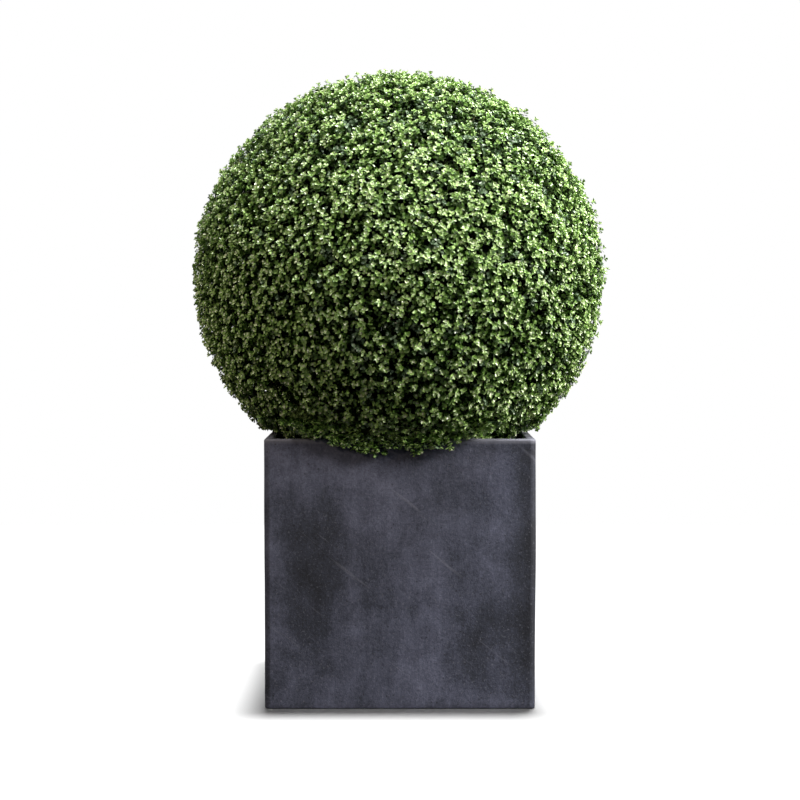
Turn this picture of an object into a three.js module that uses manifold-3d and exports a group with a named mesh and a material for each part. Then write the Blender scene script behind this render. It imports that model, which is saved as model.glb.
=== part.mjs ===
// A clipped box ball in a square planter, in millimetres, +Z up.
// The origin is the centre of the planter's flat underside, and the front faces -Y.
// The planter holds a filling of compost, a short stem stands in that, and the ball of
// foliage is carried on the stem: a core with leafy sprigs standing out of it all round.

import * as THREE from "three";
import { mergeVertices } from "three/addons/utils/BufferGeometryUtils.js";
import Module from "manifold-3d";

const wasm = await Module();
wasm.setup();

// Clearance between pieces that touch.
const GAP = 0.3;

// The planter: a cast cube with a flat floor and a softly rounded rim.
const PLANTER_SIDE = 600;
const PLANTER_HEIGHT = 600;
const WALL = 20;
const FLOOR = 30;
const CORNER_RADIUS = 11;
const RIM_ROUND = 8;
const FOOT_ROUND = 3;

// The compost stops this far below the rim.
const FILL_BELOW_RIM = 55;

// The stem, from its flared foot on the compost to its tip in the ball.
const STEM_HEIGHT = 160;
const STEM_FOOT_RADIUS = 34;
const STEM_RADIUS = 22;
const STEM_TIP_RADIUS = 17;
const STEM_SIDES = 16;

// The ball: where its leaf tips and its solid core end, measured from its centre.
const BALL_RADIUS = 484;
const BALL_ABOVE_RIM = 363;
const CORE_RADIUS = 436;
const CORE_DETAIL = 7;
const CORE_UNEVEN = 14;
const CORE_WAVES = 6;
const UNDERSIDE_ABOVE_FILL = 10;

// The sprigs: a three-sided twig with crossed pairs of leaves near its tip. Tilts are in
// degrees from the twig, and a pair's roots lie the given length below the twig's tip.
const SPRIGS = 96;
const TWIG_SUNK = 30;
const TWIG_RADIUS = 5;
const TWIG_TIP_RADIUS = 4.2;
const LEAF_WIDTH_SHARE = 0.56;
const LEAF_THICKNESS = 3.4;
const LEAF_SUNK = 1.2;
const END_LEAF = 30;
const PAIRS = [
  { below: 8, tilt: 75, length: 96 },
  { below: 4, tilt: 55, length: 58 },
];
const MOST_SHORT = 9;
const MOST_LEAN = 7;
const LEAF_CLEARANCE = 2;

// The collar: sprigs along the middle of each side that lean out and droop over the rim.
const COLLAR_PER_SIDE = 5;
const COLLAR_SPAN = 290;
const COLLAR_OUT = 19;
const COLLAR_UP = 12;
const COLLAR_DROOP = 24;
const COLLAR_UNEVEN = 3;
const DROOP_OUT = -0.45;
const DROOP_DOWN = -0.9;
const COLLAR_PAIRS = [{ below: 9, tilt: 56, length: 56 }];
const COLLAR_PROUD = 26;

const SEED = 7;

const rimZ = PLANTER_HEIGHT;
const fillTop = rimZ - FILL_BELOW_RIM;
const ballCentre = new THREE.Vector3(0, 0, rimZ + BALL_ABOVE_RIM);
const undersideZ = fillTop + UNDERSIDE_ABOVE_FILL;
const up = new THREE.Vector3(0, 0, 1);

// ---------------------------------------------------------------- solids and meshes

/** A closed three.js geometry as a solid, with its shared vertices merged. */
function solidOf(geometry) {
  const bare = new THREE.BufferGeometry();
  bare.setAttribute("position", geometry.getAttribute("position"));
  bare.setIndex(geometry.getIndex());
  const merged = mergeVertices(bare, 1e-4);
  return new wasm.Manifold(
    new wasm.Mesh({
      numProp: 3,
      vertProperties: merged.attributes.position.array,
      triVerts: new Uint32Array(merged.index.array),
    }),
  );
}

/** A solid's surface as a three.js geometry. */
function geometryOf(solid) {
  const surface = solid.getMesh();
  const geometry = new THREE.BufferGeometry();
  geometry.setAttribute("position", new THREE.BufferAttribute(surface.vertProperties, 3));
  geometry.setIndex(new THREE.BufferAttribute(surface.triVerts, 1));
  geometry.computeVertexNormals();
  return geometry;
}

function namedMesh(name, solid, color, roughness) {
  const material = new THREE.MeshStandardMaterial({ color, roughness, metalness: 0 });
  const mesh = new THREE.Mesh(geometryOf(solid), material);
  mesh.name = name;
  return mesh;
}

// ---------------------------------------------------------------- planter and compost

/** The outline of a square with round corners, centred on the origin. */
function roundedSquare(side, radius, Outline = THREE.Shape) {
  const half = side / 2;
  const inner = half - radius;
  const outline = new Outline();
  outline.moveTo(-inner, -half);
  outline.lineTo(inner, -half);
  outline.absarc(inner, -inner, radius, -Math.PI / 2, 0);
  outline.lineTo(half, inner);
  outline.absarc(inner, inner, radius, 0, Math.PI / 2);
  outline.lineTo(-inner, half);
  outline.absarc(-inner, inner, radius, Math.PI / 2, Math.PI);
  outline.lineTo(-half, -inner);
  outline.absarc(-inner, -inner, radius, Math.PI, Math.PI * 1.5);
  return outline;
}

/** The outline raised from one height to another, with both ends' edges rounded. */
function raised(outline, fromZ, toZ, round, segments) {
  const geometry = new THREE.ExtrudeGeometry(outline, {
    depth: toZ - fromZ - 2 * round,
    curveSegments: 4,
    bevelEnabled: true,
    bevelThickness: round,
    bevelSize: round,
    bevelOffset: -round,
    bevelSegments: segments,
  });
  return geometry.translate(0, 0, fromZ + round);
}

function planterSolid() {
  const wallOutline = roundedSquare(PLANTER_SIDE, CORNER_RADIUS);
  wallOutline.holes.push(
    roundedSquare(PLANTER_SIDE - 2 * WALL, CORNER_RADIUS, THREE.Path),
  );
  const wallFoot = FLOOR / 3; // the wall's own lower rounding is buried in the floor
  const wall = raised(wallOutline, wallFoot, PLANTER_HEIGHT, RIM_ROUND, 3);
  const floorOutline = roundedSquare(PLANTER_SIDE, CORNER_RADIUS);
  const floor = raised(floorOutline, 0, FLOOR, FOOT_ROUND, 2);
  return solidOf(wall).add(solidOf(floor));
}

function compostSolid() {
  const side = PLANTER_SIDE - 2 * WALL - 2 * GAP;
  const outline = roundedSquare(side, CORNER_RADIUS - GAP);
  return solidOf(raised(outline, FLOOR + GAP, fillTop, FOOT_ROUND, 2));
}

// ---------------------------------------------------------------- stem

/** The stem, or the hole for it when it is given a clearance on every side. */
function stemSolid(clearance) {
  const foot = fillTop + GAP;
  const profile = [
    [0, 0],
    [STEM_FOOT_RADIUS, 0],
    [STEM_FOOT_RADIUS * 0.86, STEM_HEIGHT * 0.05],
    [STEM_RADIUS * 1.1, STEM_HEIGHT * 0.16],
    [STEM_RADIUS, STEM_HEIGHT * 0.34],
    [STEM_TIP_RADIUS, STEM_HEIGHT],
    [0, STEM_HEIGHT],
  ].map(([radius, height]) => {
    const wider = radius > 0 ? radius + clearance : 0;
    const higher = height === 0 ? -clearance : height + clearance;
    return new THREE.Vector2(wider, higher);
  });
  const geometry = new THREE.LatheGeometry(profile, STEM_SIDES);
  return solidOf(geometry.rotateX(Math.PI / 2).translate(0, 0, foot));
}

// ---------------------------------------------------------------- sprigs

/** What no sprig may reach: the planter and its compost with a clearance, and the stem. */
function keptClear() {
  const side = PLANTER_SIDE + 2 * LEAF_CLEARANCE;
  const height = PLANTER_HEIGHT + 2 * LEAF_CLEARANCE;
  const outside = new THREE.BoxGeometry(side, side, height);
  outside.translate(0, 0, PLANTER_HEIGHT / 2);
  const mouthSide = side - 2 * WALL - 4 * LEAF_CLEARANCE;
  const mouth = new THREE.BoxGeometry(mouthSide, mouthSide, height);
  mouth.translate(0, 0, fillTop + LEAF_CLEARANCE + height / 2);
  return solidOf(outside).subtract(solidOf(mouth)).add(stemSolid(LEAF_CLEARANCE));
}

/** A leaf of eight faces with its root at the origin, pointing along +Z. */
function leafGeometry(length) {
  const leaf = new THREE.OctahedronGeometry(0.5);
  leaf.scale(LEAF_THICKNESS, length * LEAF_WIDTH_SHARE, length + LEAF_SUNK);
  return leaf.translate(0, 0, length / 2 - LEAF_SUNK / 2);
}

/** A three-sided twig from one point to another, turned about its own length. */
function twigGeometry(from, to, spin) {
  const length = from.distanceTo(to);
  const twig = new THREE.CylinderGeometry(TWIG_TIP_RADIUS, TWIG_RADIUS, length, 3);
  twig.rotateX(Math.PI / 2).rotateZ(spin).translate(0, 0, length / 2);
  const turn = new THREE.Quaternion().setFromUnitVectors(
    up,
    to.clone().sub(from).normalize(),
  );
  return twig.applyQuaternion(turn).translate(from.x, from.y, from.z);
}

/** True if every corner of the geometry lies within a distance of the ball's centre. */
function within(geometry, reach) {
  const corners = geometry.getAttribute("position");
  const corner = new THREE.Vector3();
  for (let i = 0; i < corners.count; i += 1) {
    corner.fromBufferAttribute(corners, i);
    if (corner.distanceTo(ballCentre) > reach) return false;
  }
  return true;
}

/**
 * The pieces of one sprig: its twig from root to tip, bent once if it droops, crossed
 * pairs of leaves that open round the last stretch, and perhaps an end leaf. A leaf that
 * would leave its reach or touch what is kept clear is skipped, and so is a sprig whose
 * twig would.
 */
function sprigSolids({ root, bend, tip, spin, pairs, ends, reach }, clearOf) {
  let twig = solidOf(twigGeometry(bend, tip, spin));
  if (!bend.equals(root)) twig = twig.add(solidOf(twigGeometry(root, bend, spin)));
  if (!twig.intersect(clearOf).isEmpty()) return [];
  const pieces = [twig];
  const facing = tip.clone().sub(bend).normalize();
  const turn = new THREE.Quaternion().setFromUnitVectors(up, facing);
  const addLeaf = (length, below, tilt, around) => {
    const leaf = leafGeometry(length).rotateY(THREE.MathUtils.degToRad(tilt));
    leaf.rotateZ(around).translate(0, 0, -below).applyQuaternion(turn);
    leaf.translate(tip.x, tip.y, tip.z);
    if (!within(leaf, reach)) return;
    const solid = solidOf(leaf);
    if (solid.intersect(clearOf).isEmpty()) pieces.push(solid);
  };
  pairs.forEach(({ below, tilt, length }, pair) => {
    const way = spin + (pair * Math.PI) / 2;
    addLeaf(length, below, tilt, way);
    addLeaf(length, below, tilt, way + Math.PI);
  });
  if (ends) addLeaf(END_LEAF, 0, 0, spin + Math.PI / 2);
  return pieces;
}

const random = () => THREE.MathUtils.seededRandom();
const around = (most) => (random() * 2 - 1) * most;

/** Directions spread evenly over a sphere by a golden spiral. */
function spreadDirections(count) {
  const goldenAngle = Math.PI * (3 - Math.sqrt(5));
  const directions = [];
  for (let i = 0; i < count; i += 1) {
    const height = 1 - (2 * i + 1) / count;
    const ring = Math.sqrt(1 - height * height);
    const angle = i * goldenAngle;
    directions.push(
      new THREE.Vector3(ring * Math.cos(angle), ring * Math.sin(angle), height),
    );
  }
  return directions;
}

/** Sprigs that stand out all round, with one full-length sprig each way and at the top. */
function ballSprigs() {
  const furthest = [
    up,
    new THREE.Vector3(1, 0, 0),
    new THREE.Vector3(-1, 0, 0),
    new THREE.Vector3(0, 1, 0),
    new THREE.Vector3(0, -1, 0),
  ];
  const apart = Math.sqrt(4 / SPRIGS);
  const others = spreadDirections(SPRIGS).filter((direction) =>
    furthest.every((way) => way.distanceTo(direction) > apart),
  );
  const endAt = BALL_RADIUS - END_LEAF;
  return [...furthest, ...others].map((direction, i) => {
    const whole = i < furthest.length;
    const short = whole ? 0 : random() * MOST_SHORT;
    const lean = new THREE.Vector3(around(1), around(1), around(1));
    const root = direction.clone().multiplyScalar(CORE_RADIUS - TWIG_SUNK);
    const tip = direction.clone().multiplyScalar(endAt - short);
    if (!whole) tip.addScaledVector(lean, MOST_LEAN);
    return {
      root: root.add(ballCentre),
      bend: root,
      tip: tip.add(ballCentre),
      spin: random() * Math.PI,
      pairs: PAIRS,
      ends: whole,
      reach: BALL_RADIUS + 0.01,
    };
  });
}

/** Sprigs over the middle of each of the planter's sides, drooping outside the rim. */
function collarSprigs() {
  const sprigs = [];
  for (let side = 0; side < 4; side += 1) {
    for (let i = 0; i < COLLAR_PER_SIDE; i += 1) {
      const along = (i / (COLLAR_PER_SIDE - 1) - 0.5) * COLLAR_SPAN;
      const out = PLANTER_SIDE / 2 + COLLAR_OUT + around(COLLAR_UNEVEN);
      const tip = new THREE.Vector3(along, -out, rimZ + COLLAR_UP + around(COLLAR_UNEVEN));
      const facing = new THREE.Vector3(along / COLLAR_SPAN, DROOP_OUT, DROOP_DOWN);
      facing.normalize();
      const bend = tip.clone().addScaledVector(facing, -COLLAR_DROOP);
      const root = bend.clone().sub(ballCentre);
      root.setLength(CORE_RADIUS - TWIG_SUNK).add(ballCentre);
      const quarter = (side * Math.PI) / 2;
      for (const point of [root, bend, tip]) point.applyAxisAngle(up, quarter);
      const spin = Math.PI / 4 + around(0.3);
      const reach = BALL_RADIUS + COLLAR_PROUD;
      const pairs = COLLAR_PAIRS;
      sprigs.push({ root, bend, tip, spin, pairs, ends: true, reach });
    }
  }
  return sprigs;
}

// ---------------------------------------------------------------- ball of foliage

/** The core: a ball with a slightly uneven clipped surface and a flat underside. */
function coreSolid() {
  const core = new THREE.IcosahedronGeometry(CORE_RADIUS, CORE_DETAIL);
  const corners = core.getAttribute("position");
  const corner = new THREE.Vector3();
  for (let i = 0; i < corners.count; i += 1) {
    corner.fromBufferAttribute(corners, i);
    const { x, y, z } = corner.clone().multiplyScalar(CORE_WAVES / CORE_RADIUS);
    const swell = Math.sin(x + 2 * Math.sin(y)) * Math.cos(y - z) * Math.sin(z + x);
    corner.setLength(CORE_RADIUS + ((swell - 1) * CORE_UNEVEN) / 2);
    corners.setXYZ(i, corner.x, corner.y, corner.z);
  }
  core.translate(ballCentre.x, ballCentre.y, ballCentre.z);
  const below = new THREE.BoxGeometry(PLANTER_SIDE, PLANTER_SIDE, undersideZ);
  return solidOf(core).subtract(solidOf(below.translate(0, 0, undersideZ / 2)));
}

function foliageSolid() {
  THREE.MathUtils.seededRandom(SEED);
  const clearOf = keptClear();
  let ball = coreSolid().subtract(stemSolid(GAP));
  for (const sprig of [...ballSprigs(), ...collarSprigs()]) {
    for (const piece of sprigSolids(sprig, clearOf)) ball = ball.add(piece);
  }
  return ball;
}

// ---------------------------------------------------------------- the whole object

const boxBall = new THREE.Group();
boxBall.add(
  namedMesh("planter", planterSolid(), 0x3c3e47, 0.7),
  namedMesh("compost", compostSolid(), 0x35281d, 0.95),
  namedMesh("stem", stemSolid(0), 0x6a5a44, 0.85),
  namedMesh("foliage_ball", foliageSolid(), 0x4b7a2c, 0.6),
);

export default boxBall;
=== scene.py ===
"""A clipped box ball in a square fibre-clay planter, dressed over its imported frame.

Metres, +Z up, front towards -Y. The planter, the compost and the stem are single pieces. The
ball is grown from the stem's tip: boughs, limbs, twigs, sprigs and shoots, each from the
nearest end of the wood before it, and every shoot carries crossed pairs of leaves down from
its tip.
"""
import math

import bmesh
import bpy
import numpy as np
from mathutils import Matrix, Vector, noise


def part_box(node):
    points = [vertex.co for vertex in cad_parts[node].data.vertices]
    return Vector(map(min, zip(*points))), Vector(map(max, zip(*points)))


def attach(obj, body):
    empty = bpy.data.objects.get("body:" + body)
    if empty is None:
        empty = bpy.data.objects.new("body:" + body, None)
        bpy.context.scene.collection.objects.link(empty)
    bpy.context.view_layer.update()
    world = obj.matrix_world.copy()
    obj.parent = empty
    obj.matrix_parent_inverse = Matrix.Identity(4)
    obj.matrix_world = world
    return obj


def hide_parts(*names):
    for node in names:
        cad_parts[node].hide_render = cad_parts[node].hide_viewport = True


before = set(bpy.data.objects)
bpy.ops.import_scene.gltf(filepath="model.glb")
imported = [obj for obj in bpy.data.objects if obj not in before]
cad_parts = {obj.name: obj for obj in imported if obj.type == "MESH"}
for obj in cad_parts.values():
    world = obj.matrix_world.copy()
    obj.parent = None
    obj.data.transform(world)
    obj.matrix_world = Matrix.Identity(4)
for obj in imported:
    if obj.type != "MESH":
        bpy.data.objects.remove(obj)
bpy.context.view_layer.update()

MM = 0.001
NEAR_NOTHING = 1e-5

# ---------------------------------------------------------------- places taken from the frame

_, planter_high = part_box("planter")
fill_low, fill_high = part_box("compost")
stem_low, stem_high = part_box("stem")
_, ball_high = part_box("foliage_ball")

HALF_SIDE = planter_high.x
RIM = planter_high.z
MOUTH = fill_high.x
FILL = fill_high.z
BALL_REACH = ball_high.x
CENTRE = np.array([0.0, 0.0, ball_high.z - BALL_REACH])
STEM_TIP = np.array([0.0, 0.0, stem_high.z])
UP = np.array([0.0, 0.0, 1.0])

# ---------------------------------------------------------------- camera

VIEW_FROM = (0.0, -4.4, 0.887)
VIEW_DOWN = math.radians(2.8)
LENS = 83.9
SENSOR = 36
FARTHEST_SEEN = 100


def set_camera():
    """A camera straight in front that looks down a little."""
    camera = bpy.data.cameras.new("camera")
    camera.lens = LENS
    camera.sensor_width = SENSOR
    camera.clip_end = FARTHEST_SEEN
    stand = bpy.data.objects.new("camera", camera)
    stand.location = VIEW_FROM
    stand.rotation_euler = (math.pi / 2 - VIEW_DOWN, 0, 0)
    bpy.context.collection.objects.link(stand)
    bpy.context.scene.camera = stand


# ---------------------------------------------------------------- finishes


def linear(colour):
    """An sRGB hex colour as linear red, green, blue and alpha, by the sRGB standard's curve."""
    shares = [int(colour[i : i + 2], 16) / 255 for i in (1, 3, 5)]
    straight = [share / 12.92 for share in shares]
    curved = [((share + 0.055) / 1.055) ** 2.4 for share in shares]
    every = zip(shares, straight, curved)
    return [low if share <= 0.04045 else high for share, low, high in every] + [1.0]


def add(tree, kind, inputs=None, stops=None, **settings):
    """Adds a node with its settings, its values or links by socket, and a ramp's stops."""
    node = tree.nodes.new(kind)
    for setting, value in settings.items():
        setattr(node, setting, value)
    for place, (at, colour) in enumerate(stops or []):
        elements = node.color_ramp.elements
        stop = elements[place] if place < 2 else elements.new(at)
        stop.position = at
        stop.color = linear(colour)
    for socket, value in (inputs or {}).items():
        if isinstance(value, bpy.types.NodeSocket):
            tree.links.new(value, node.inputs[socket])
        else:
            node.inputs[socket].default_value = value
    return node


def bare_finish(name):
    """A material with no nodes yet but its output."""
    finish = bpy.data.materials.new(name)
    finish.use_nodes = True
    finish.node_tree.nodes.clear()
    return finish, finish.node_tree


def show(tree, shader):
    """Ends a material's nodes in its output."""
    add(tree, "ShaderNodeOutputMaterial", {"Surface": shader.outputs[0]})


def leaf_finish(name, colour, roughness, gloss, wax):
    """Box leaf, grown: a leathery blade under a thin wax that glints where it curls.

    The shades are dealt out by spray, so each is one plain colour.
    """
    finish, tree = bare_finish(name)
    blade = {
        "Base Color": linear(colour),
        "Roughness": roughness,
        "IOR": 1.5,
        "Specular IOR Level": gloss,
        "Coat Weight": wax,
        "Coat Roughness": 0.34,
    }
    show(tree, add(tree, "ShaderNodeBsdfPrincipled", blade))
    return finish


def twig_finish(name, colour):
    """Young box wood, grown: a dull skin, green near the tips and tan further in."""
    finish, tree = bare_finish(name)
    skin = {"Base Color": linear(colour), "Roughness": 0.72, "IOR": 1.45}
    show(tree, add(tree, "ShaderNodeBsdfPrincipled", skin))
    return finish


FISSURE = 7 * MM
FISSURE_DRAWN_OUT = 0.28
LICHEN = 22 * MM
BARK_RELIEF = 2.5 * MM


def bark_finish():
    """Box bark, weathered: corky and pale on its ridges, dark along its fissures."""
    finish, tree = bare_finish("box_bark_weathered")
    place = add(tree, "ShaderNodeTexCoord").outputs["Object"]
    along = add(
        tree, "ShaderNodeMapping", {"Vector": place, "Scale": (1, 1, FISSURE_DRAWN_OUT)}
    )
    fissures = add(
        tree,
        "ShaderNodeTexNoise",
        {"Vector": along.outputs[0], "Scale": 1 / FISSURE, "Detail": 6, "Roughness": 0.62},
    )
    lichen = add(
        tree, "ShaderNodeTexNoise", {"Vector": place, "Scale": 1 / LICHEN, "Detail": 3}
    )
    cork = add(
        tree,
        "ShaderNodeValToRGB",
        {"Fac": fissures.outputs[0]},
        stops=[(0.33, "#2E241A"), (0.5, "#6B5944"), (0.68, "#9A8869")],
    )
    grown_over = add(
        tree,
        "ShaderNodeValToRGB",
        {"Fac": lichen.outputs[0]},
        stops=[(0.55, "#000000"), (0.72, "#A0A0A0")],
    )
    colour = add(
        tree,
        "ShaderNodeMix",
        {0: grown_over.outputs[0], 6: cork.outputs[0], 7: linear("#8C8F78")},
        data_type="RGBA",
    )
    relief = add(
        tree, "ShaderNodeBump", {"Height": fissures.outputs[0], "Distance": BARK_RELIEF}
    )
    skin = {
        "Base Color": colour.outputs[2],
        "Roughness": 0.88,
        "Normal": relief.outputs[0],
    }
    show(tree, add(tree, "ShaderNodeBsdfPrincipled", skin))
    return finish


CRUMB = 6 * MM
FIBRE = 3 * MM
CRUMB_RELIEF = 3 * MM


def compost_finish():
    """Bark compost, screened: dark damp crumbs with a few paler fibres."""
    finish, tree = bare_finish("bark_compost_screened")
    place = add(tree, "ShaderNodeTexCoord").outputs["Object"]
    crumbs = add(
        tree,
        "ShaderNodeTexVoronoi",
        {"Vector": place, "Scale": 1 / CRUMB, "Randomness": 1.0},
    )
    fibres = add(
        tree,
        "ShaderNodeTexNoise",
        {"Vector": place, "Scale": 1 / FIBRE, "Detail": 4, "Distortion": 1.5},
    )
    damp = add(
        tree,
        "ShaderNodeValToRGB",
        {"Fac": fibres.outputs[0]},
        stops=[(0.35, "#1B1410"), (0.55, "#3A2B20"), (0.75, "#6A5540")],
    )
    relief = add(
        tree,
        "ShaderNodeBump",
        {"Height": crumbs.outputs["Distance"], "Distance": CRUMB_RELIEF},
    )
    crumb = {
        "Base Color": damp.outputs[0],
        "Roughness": 0.95,
        "Normal": relief.outputs[0],
    }
    show(tree, add(tree, "ShaderNodeBsdfPrincipled", crumb))
    return finish


# Darker and paler patches on the planter's front: the middle of each, how far it spreads in
# metres across, out and up, and how much it darkens, below nought where it's pale.
FRONT_PATCHES = [
    ((-0.13, -0.32, 0.54), (0.15, 0.2, 0.06), -0.08),
    ((-0.19, -0.32, 0.31), (0.075, 0.2, 0.16), 0.14),
    ((0.33, -0.32, 0.40), (0.08, 0.2, 0.42), 0.22),
    ((0.22, -0.32, 0.15), (0.10, 0.2, 0.12), 0.09),
    ((-0.30, -0.32, 0.06), (0.12, 0.2, 0.09), 0.07),
    # Painted shade along the top of the rim, under the collar that hangs over it.
    ((0.0, -0.32, 0.66), (0.16, 0.2, 0.05), 0.12),
]


# A patch keeps its whole depth out to the first share of its spread and is gone by the second.
PATCH_FULL = 0.2
PATCH_GONE = 1.6


def tone(tree, base, place, patches):
    """The base value, lowered around each patch and fading out with distance."""
    for middle, spread, depth in patches:
        apart = add(tree, "ShaderNodeVectorMath", {0: place, 1: middle}, operation="SUBTRACT")
        scaled = add(
            tree, "ShaderNodeVectorMath", {0: apart.outputs[0], 1: spread}, operation="DIVIDE"
        )
        far = add(tree, "ShaderNodeVectorMath", {0: scaled.outputs[0]}, operation="LENGTH")
        faded = add(
            tree,
            "ShaderNodeMapRange",
            {
                "Value": far.outputs["Value"],
                "From Min": PATCH_FULL,
                "From Max": PATCH_GONE,
                "To Min": depth,
                "To Max": 0,
            },
            interpolation_type="SMOOTHSTEP",
        )
        base = add(
            tree, "ShaderNodeMath", {0: base, 1: faded.outputs[0]}, operation="SUBTRACT"
        ).outputs[0]
    return base


# The sizes of what shows in the clay. The grit and bloom are drawn a few times coarser than
# they are, so that they show from a few metres away.
CLOUD = 105 * MM
RUN = 26 * MM
RUN_DRAWN_OUT = 0.2
GRIT = 7 * MM
PIT = 16 * MM
SCRATCH = 9 * MM
SCRATCH_DRAWN_OUT = 22
SCRATCH_SLANT = (math.radians(-28), math.radians(38), 0)
BLOOM = 4.5 * MM
CLAY_RELIEF = 2.5 * MM
# The planter is painted paler towards its top as a highlight along the rim: from this far below
# the rim, and wholly from this far below it.
RIM_HIGHLIGHT_FROM = 12 * MM
RIM_HIGHLIGHT_WHOLE = 3 * MM


def clay_finish():
    """Fibre clay, cast and waxed dark: clouded slate blue, pitted, patched darker and paler.

    Its front has painted shade under the collar, and its rim a painted highlight along the top.
    """
    finish, tree = bare_finish("fibre_clay_cast")
    place = add(tree, "ShaderNodeTexCoord").outputs["Object"]
    split = add(tree, "ShaderNodeSeparateXYZ", {"Vector": place})
    clouds = add(
        tree,
        "ShaderNodeTexNoise",
        {
            "Vector": place,
            "Scale": 1 / CLOUD,
            "Detail": 10,
            "Roughness": 0.7,
            "Distortion": 0.3,
        },
    )
    hanging = add(
        tree, "ShaderNodeMapping", {"Vector": place, "Scale": (1, 1, RUN_DRAWN_OUT)}
    )
    runs = add(
        tree,
        "ShaderNodeTexNoise",
        {"Vector": hanging.outputs[0], "Scale": 1 / RUN, "Detail": 6, "Roughness": 0.7},
    )
    grit = add(
        tree,
        "ShaderNodeTexNoise",
        {"Vector": place, "Scale": 1 / GRIT, "Detail": 4, "Roughness": 0.8},
    )
    clouded = add(
        tree, "ShaderNodeMix", {0: 0.3, 2: clouds.outputs[0], 3: runs.outputs[0]}
    )
    gritty = add(tree, "ShaderNodeMix", {0: 0.32, 2: clouded.outputs[0], 3: grit.outputs[0]})
    # The front's darker and paler patches, one of them painted shade under the collar, go over
    # the grit.
    wax = tone(tree, gritty.outputs[0], place, FRONT_PATCHES)
    body = add(
        tree,
        "ShaderNodeValToRGB",
        {"Fac": wax},
        stops=[(0.28, "#242731"), (0.42, "#3D4151"), (0.54, "#5D6177"), (0.72, "#878AA3")],
    )
    pits = add(
        tree,
        "ShaderNodeTexVoronoi",
        {"Vector": place, "Scale": 1 / PIT, "Randomness": 1.0},
    )
    pitted = add(
        tree,
        "ShaderNodeMapRange",
        {
            "Value": pits.outputs["Distance"],
            "From Min": 0.05,
            "From Max": 0.16,
            "To Min": 0.7,
            "To Max": 0,
        },
    )
    slanting = add(
        tree,
        "ShaderNodeMapping",
        {
            "Vector": place,
            "Rotation": SCRATCH_SLANT,
            "Scale": (SCRATCH_DRAWN_OUT, SCRATCH_DRAWN_OUT, 1),
        },
        vector_type="TEXTURE",
    )
    strokes = add(
        tree,
        "ShaderNodeTexNoise",
        {"Vector": slanting.outputs[0], "Scale": 1 / SCRATCH, "Detail": 2},
    )
    scratched = add(
        tree,
        "ShaderNodeMapRange",
        {"Value": strokes.outputs[0], "From Min": 0.68, "From Max": 0.76, "To Max": 0.2},
    )
    bloom = add(
        tree,
        "ShaderNodeTexNoise",
        {"Vector": place, "Scale": 1 / BLOOM, "Detail": 2, "Roughness": 0.5},
    )
    bloomed = add(
        tree,
        "ShaderNodeMapRange",
        {"Value": bloom.outputs[0], "From Min": 0.6, "From Max": 0.72, "To Max": 0.2},
    )
    # A painted highlight: the clay turns paler towards the top of the rim.
    painted_rim_highlight = add(
        tree,
        "ShaderNodeMapRange",
        {
            "Value": split.outputs["Z"],
            "From Min": RIM - RIM_HIGHLIGHT_FROM,
            "From Max": RIM - RIM_HIGHLIGHT_WHOLE,
            "To Max": 0.55,
        },
    )
    marked = add(
        tree,
        "ShaderNodeMix",
        {0: pitted.outputs[0], 6: body.outputs[0], 7: linear("#26282C")},
        data_type="RGBA",
    )
    # The painted rim highlight, the scratches and the bloom pale the clay together.
    highlight_and_scratches = add(
        tree,
        "ShaderNodeMath",
        {0: painted_rim_highlight.outputs[0], 1: scratched.outputs[0]},
        operation="MAXIMUM",
    )
    highlight_scratches_and_bloom = add(
        tree,
        "ShaderNodeMath",
        {0: highlight_and_scratches.outputs[0], 1: bloomed.outputs[0]},
        operation="MAXIMUM",
    )
    colour = add(
        tree,
        "ShaderNodeMix",
        {0: highlight_scratches_and_bloom.outputs[0], 6: marked.outputs[2], 7: linear("#A2A4B4")},
        data_type="RGBA",
    )
    relief = add(
        tree, "ShaderNodeBump", {"Height": gritty.outputs[0], "Distance": CLAY_RELIEF}
    )
    cast = {
        "Base Color": colour.outputs[2],
        "Roughness": 0.6,
        "Normal": relief.outputs[0],
    }
    show(tree, add(tree, "ShaderNodeBsdfPrincipled", cast))
    return finish


# ---------------------------------------------------------------- pieces


def piece(name, mesh, finish, stands_for):
    """A finished piece at the origin, riding on the one body in place of a CAD node."""
    mesh.materials.append(finish)
    made = bpy.data.objects.new(name, mesh)
    bpy.context.collection.objects.link(made)
    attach(made, "root")
    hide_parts(stands_for)
    return made


def mesh_of(name, bm, sharp_over=None):
    """The worked shape as a mesh, smooth apart from edges sharper than an angle."""
    bmesh.ops.recalc_face_normals(bm, faces=bm.faces)
    mesh = bpy.data.meshes.new(name)
    bm.to_mesh(mesh)
    bm.free()
    mesh.shade_smooth()
    if sharp_over:
        mesh.set_sharp_from_angle(angle=math.radians(sharp_over))
    return mesh


# ---------------------------------------------------------------- planter

WALL = HALF_SIDE - MOUTH
PLANTER_FLOOR = fill_low.z
CORNER_ROUND = 12 * MM
RIM_ROUND = 11 * MM
FOOT_ROUND = 3 * MM
ROUND_STEPS = 4
FOOT_STEPS = 2
# The radians between two faces past which the edge between them is to be rounded.
SQUARE = 1
SHARP = 40
FACE_CUTS = 24
CUTS_WITHIN = 13 * MM
# The cast walls wander by about this much, in broad swells and finer ones, mostly outwards.
UNEVEN = 1.3 * MM
BROAD_UNEVEN = 4.2
FINE_UNEVEN, FINE_UNEVEN_SHARE = 13, 0.4
MEAN_UNEVEN = 0.5
UNEVEN_SEAT = Vector((3, 1, 7))


def edges_where(bm, test):
    """The edges whose two ends both pass a test of their place."""
    return [edge for edge in bm.edges if all(test(corner.co) for corner in edge.verts)]


def round_off(bm, edges, by, steps):
    """Rounds the edges over to a radius in a number of steps."""
    bmesh.ops.bevel(
        bm,
        geom=edges,
        offset=by,
        affect="EDGES",
        segments=steps,
        profile=0.5,
        material=-1,
        clamp_overlap=True,
    )


def upright(edge):
    """True for an edge that runs up the planter's corner."""
    first, second = edge.verts
    return abs(first.co.z - second.co.z) > HALF_SIDE


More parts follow.
